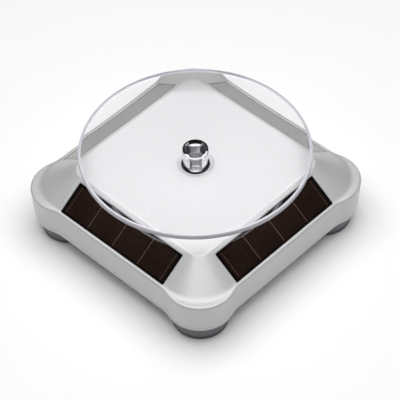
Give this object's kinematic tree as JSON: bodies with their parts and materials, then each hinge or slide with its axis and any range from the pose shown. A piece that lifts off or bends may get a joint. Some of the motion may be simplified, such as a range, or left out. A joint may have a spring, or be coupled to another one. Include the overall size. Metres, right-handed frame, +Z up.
{
  "type": "solar turntable display stand",
  "caption": "Square display stand with a clear disc turned by a geared motor, solar cells in its sloping sides and round feet under corner lobes.",
  "frame": {"origin": "on the floor under the spindle's axis", "axes": "+Z up along the spindle; the case's four sides face +X, +Y, -X and -Y"},
  "size_m": [0.1026, 0.1026, 0.0416],
  "materials": {
    "board": "green glass-fibre board",
    "brass": "turned brass",
    "capacitor_sleeve": "dark blue shrink sleeve",
    "cell_wrap": "shrink sleeve over a steel cell",
    "chrome": "bright chrome plate",
    "clear_acrylic": "clear polished acrylic",
    "foot_plastic": "dark grey moulded plastic",
    "foot_rubber": "matt dark grey rubber",
    "gearbox_plastic": "black moulded plastic",
    "silver_case": "ABS sprayed with fine silver paint, satin",
    "solar_cell": "dark brown amorphous silicon behind glass",
    "steel": "plain steel",
    "white_nylon": "natural white nylon"
  },
  "bodies": {
    "case": {"aa_cell": "cell_wrap", "board_screws": "steel", "bottom_cover": "silver_case", "case_screws": "steel", "circuit_board": "board", "contact_plate": "steel", "contact_spring": "steel", "fast_gear_pin": "steel", "foot_back_left": "foot_plastic", "foot_back_right": "foot_plastic", "foot_front_left": "foot_plastic", "foot_front_right": "foot_plastic", "foot_pad_back_left": "foot_rubber", "foot_pad_back_right": "foot_rubber", "foot_pad_front_left": "foot_rubber", "foot_pad_front_right": "foot_rubber", "gearbox_base": "gearbox_plastic", "gearbox_lid": "gearbox_plastic", "gearbox_screws": "steel", "motor_can": "steel", "motor_end_cap": "gearbox_plastic", "slow_gear_pin": "steel", "solar_cell_back": "solar_cell", "solar_cell_front": "solar_cell", "solar_cell_left": "solar_cell", "solar_cell_right": "solar_cell", "spindle_bush": "brass", "storage_capacitor": "capacitor_sleeve", "thrust_washer": "white_nylon", "top_shell": "silver_case"},
    "turntable": {"turntable_disc": "clear_acrylic", "spindle_hub": "chrome", "output_shaft": "steel", "output_gear": "white_nylon"},
    "slow_gear": {"slow_gear": "white_nylon"},
    "fast_gear": {"fast_gear": "white_nylon"},
    "rotor": {"motor_shaft": "steel", "motor_pinion": "brass"},
    "battery_door": {"battery_door": "silver_case"}
  },
  "joints": [
    {"name": "disc_spin", "type": "hinge", "parent": "case", "child": "turntable", "pos_m": [0, 0, 0.035], "axis": [0, 0, 1], "continuous": true},
    {"name": "slow_gear_spin", "type": "hinge", "parent": "case", "child": "slow_gear", "pos_m": [-0.00884, 0.00884, 0.02], "axis": [0, 0, 1], "continuous": true},
    {"name": "fast_gear_spin", "type": "hinge", "parent": "case", "child": "fast_gear", "pos_m": [0.0014, 0.01601, 0.02], "axis": [0, 0, 1], "continuous": true},
    {"name": "rotor_spin", "type": "hinge", "parent": "case", "child": "rotor", "pos_m": [0.01371, 0.01384, 0.02], "axis": [0, 0, 1], "continuous": true},
    {"name": "battery_door_hinge", "type": "hinge", "parent": "case", "child": "battery_door", "pos_m": [0, -0.0126, 0.0097], "axis": [1, 0, 0], "range_deg": [0, 90]}
  ],
  "couplings": [
    {"joint": "slow_gear_spin", "follows": "disc_spin", "ratio": -4},
    {"joint": "fast_gear_spin", "follows": "disc_spin", "ratio": 16},
    {"joint": "rotor_spin", "follows": "disc_spin", "ratio": -64}
  ]
}
